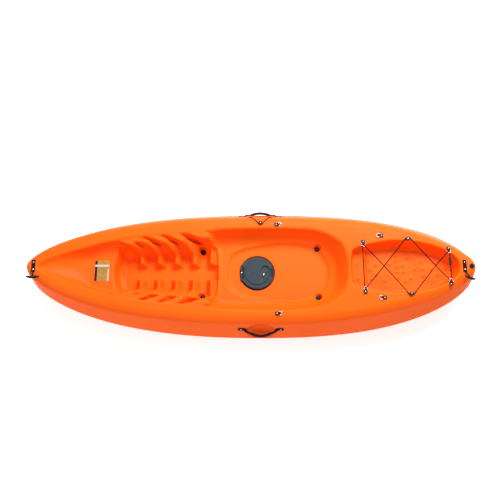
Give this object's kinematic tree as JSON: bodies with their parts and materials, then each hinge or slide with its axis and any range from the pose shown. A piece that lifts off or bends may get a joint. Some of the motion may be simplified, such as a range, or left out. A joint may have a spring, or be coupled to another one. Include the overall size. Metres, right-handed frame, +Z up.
{
  "type": "sit-on-top kayak",
  "caption": "Single-seat sit-on-top kayak hull with stepped footwell, round deck hatch, rear tank well under bungee, carry handles, end toggles and scupper plugs.",
  "frame": {"origin": "on the flat of the keel, at mid length on the centreline", "axes": "+X to the stern, +Y to starboard, +Z up"},
  "size_m": [2.67, 0.798, 0.3332],
  "materials": {
    "hull_plastic": "rotationally moulded polyethylene, satin",
    "hatch_plastic": "fine textured injection moulding",
    "black_plastic": "moulded, satin",
    "stainless_steel": "polished stainless",
    "black_rubber": "matt rubber",
    "bungee_cord": "woven sheath over elastic",
    "toggle_rope": "braided polyester",
    "webbing": "woven polypropylene",
    "grip_rubber": "moulded grip",
    "label_film": "printed film plate"
  },
  "bodies": {
    "hull": {"bungee_button_port": "black_plastic", "bungee_button_starboard": "black_plastic", "bungee_clip": "black_plastic", "bungee_knot": "black_plastic", "button_screws": "stainless_steel", "deck_bungee": "bungee_cord", "drain_socket": "black_plastic", "handle_pads_port": "webbing", "handle_pads_starboard": "webbing", "handle_screws": "stainless_steel", "hatch_bracket_screw": "stainless_steel", "hatch_gasket": "black_rubber", "hatch_hinge_pin": "stainless_steel", "hatch_rim": "hatch_plastic", "hatch_rim_screws": "stainless_steel", "hull_shell": "hull_plastic", "label_plate": "label_film", "pad_eye_bungee_aft_port": "black_plastic", "pad_eye_bungee_aft_starboard": "black_plastic", "pad_eye_bungee_fore_port": "black_plastic", "pad_eye_bungee_fore_starboard": "black_plastic", "pad_eye_cockpit_port": "black_plastic", "pad_eye_cockpit_starboard": "black_plastic", "pad_eye_screws": "stainless_steel", "pad_eye_seat_back_port": "black_plastic", "pad_eye_seat_back_starboard": "black_plastic", "paddle_bungee": "bungee_cord", "paddle_button": "black_plastic", "ring_bungee_aft_port": "stainless_steel", "ring_bungee_aft_starboard": "stainless_steel", "ring_bungee_fore_port": "stainless_steel", "ring_bungee_fore_starboard": "stainless_steel", "toggle_screws": "stainless_steel", "toggle_strap_bow": "webbing", "toggle_strap_stern": "webbing"},
    "hatch_lid": {"hatch_lid": "hatch_plastic"},
    "hatch_knob": {"hatch_knob": "hatch_plastic"},
    "hatch_latch_tab": {"hatch_latch_tab": "black_plastic"},
    "drain_gasket": {"drain_gasket": "black_rubber"},
    "drain_plug": {"drain_plug": "black_plastic", "drain_stem": "black_plastic"},
    "handle_port": {"handle_webbing_port": "webbing", "handle_grip_port": "grip_rubber"},
    "ring_cockpit_port": {"ring_cockpit_port": "stainless_steel"},
    "ring_seat_back_port": {"ring_seat_back_port": "stainless_steel"},
    "scupper_plug_fore_port": {"scupper_plug_fore_port": "black_rubber"},
    "scupper_plug_aft_port": {"scupper_plug_aft_port": "black_rubber"},
    "handle_starboard": {"handle_webbing_starboard": "webbing", "handle_grip_starboard": "grip_rubber"},
    "ring_cockpit_starboard": {"ring_cockpit_starboard": "stainless_steel"},
    "ring_seat_back_starboard": {"ring_seat_back_starboard": "stainless_steel"},
    "scupper_plug_fore_starboard": {"scupper_plug_fore_starboard": "black_rubber"},
    "scupper_plug_aft_starboard": {"scupper_plug_aft_starboard": "black_rubber"},
    "toggle_bow": {"toggle_cord_bow": "toggle_rope", "toggle_grip_bow": "grip_rubber"},
    "toggle_stern": {"toggle_cord_stern": "toggle_rope", "toggle_grip_stern": "grip_rubber"}
  },
  "joints": [
    {"name": "hatch_lid_hinge", "type": "hinge", "parent": "hull", "child": "hatch_lid", "pos_m": [-0.057, 0, 0.158], "axis": [0, -1, 0], "range_deg": [0, 110]},
    {"name": "hatch_knob_turn", "type": "hinge", "parent": "hatch_lid", "child": "hatch_knob", "pos_m": [0.086, 0, 0.158], "axis": [0, 0, 1], "range_deg": [0, 90]},
    {"name": "hatch_latch_slide", "type": "slide", "parent": "hatch_lid", "child": "hatch_latch_tab", "axis": [1, 0, 0], "range_m": [-0.007, 0]},
    {"name": "handle_port_swing", "type": "hinge", "parent": "hull", "child": "handle_port", "pos_m": [0.058, -0.3601, 0.18807], "axis": [-1, 0, 0], "range_deg": [0, 110]},
    {"name": "ring_cockpit_port_flip", "type": "hinge", "parent": "hull", "child": "ring_cockpit_port", "pos_m": [0.168, -0.277, 0.269], "axis": [0, -1, 0], "range_deg": [0, 120]},
    {"name": "ring_seat_back_port_flip", "type": "hinge", "parent": "hull", "child": "ring_seat_back_port", "pos_m": [0.768, -0.191, 0.31301], "axis": [0, 1, 0], "range_deg": [0, 120]},
    {"name": "scupper_plug_fore_port_lift", "type": "slide", "parent": "hull", "child": "scupper_plug_fore_port", "axis": [0, 0, 1], "range_m": [0, 0.05]},
    {"name": "scupper_plug_aft_port_lift", "type": "slide", "parent": "hull", "child": "scupper_plug_aft_port", "axis": [0, 0, 1], "range_m": [0, 0.05]},
    {"name": "handle_starboard_swing", "type": "hinge", "parent": "hull", "child": "handle_starboard", "pos_m": [0.058, 0.3601, 0.18807], "axis": [1, 0, 0], "range_deg": [0, 110]},
    {"name": "ring_cockpit_starboard_flip", "type": "hinge", "parent": "hull", "child": "ring_cockpit_starboard", "pos_m": [0.168, 0.277, 0.269], "axis": [0, -1, 0], "range_deg": [0, 120]},
    {"name": "ring_seat_back_starboard_flip", "type": "hinge", "parent": "hull", "child": "ring_seat_back_starboard", "pos_m": [0.768, 0.191, 0.31301], "axis": [0, 1, 0], "range_deg": [0, 120]},
    {"name": "scupper_plug_fore_starboard_lift", "type": "slide", "parent": "hull", "child": "scupper_plug_fore_starboard", "axis": [0, 0, 1], "range_m": [0, 0.05]},
    {"name": "scupper_plug_aft_starboard_lift", "type": "slide", "parent": "hull", "child": "scupper_plug_aft_starboard", "axis": [0, 0, 1], "range_m": [0, 0.05]},
    {"name": "toggle_bow_swing", "type": "hinge", "parent": "hull", "child": "toggle_bow", "pos_m": [-1.29, -0.0415, 0.31796], "axis": [-1, 0, 0], "range_deg": [0, 120]},
    {"name": "toggle_stern_swing", "type": "hinge", "parent": "hull", "child": "toggle_stern", "pos_m": [1.266, -0.0415, 0.3183], "axis": [-1, 0, 0], "range_deg": [0, 120]},
    {"name": "drain_gasket_rise", "type": "slide", "parent": "hull", "child": "drain_gasket", "axis": [0, 0, 1], "range_m": [0, 0.006]},
    {"name": "drain_plug_turn", "type": "hinge", "parent": "drain_gasket", "child": "drain_plug", "pos_m": [1.308, 0, 0.3], "axis": [0, 0, 1], "range_deg": [0, 1080]}
  ],
  "couplings": [
    {"joint": "hatch_latch_slide", "follows": "hatch_knob_turn", "m_per_rad": -0.004456},
    {"joint": "drain_gasket_rise", "follows": "drain_plug_turn", "m_per_rad": 0.000318}
  ]
}
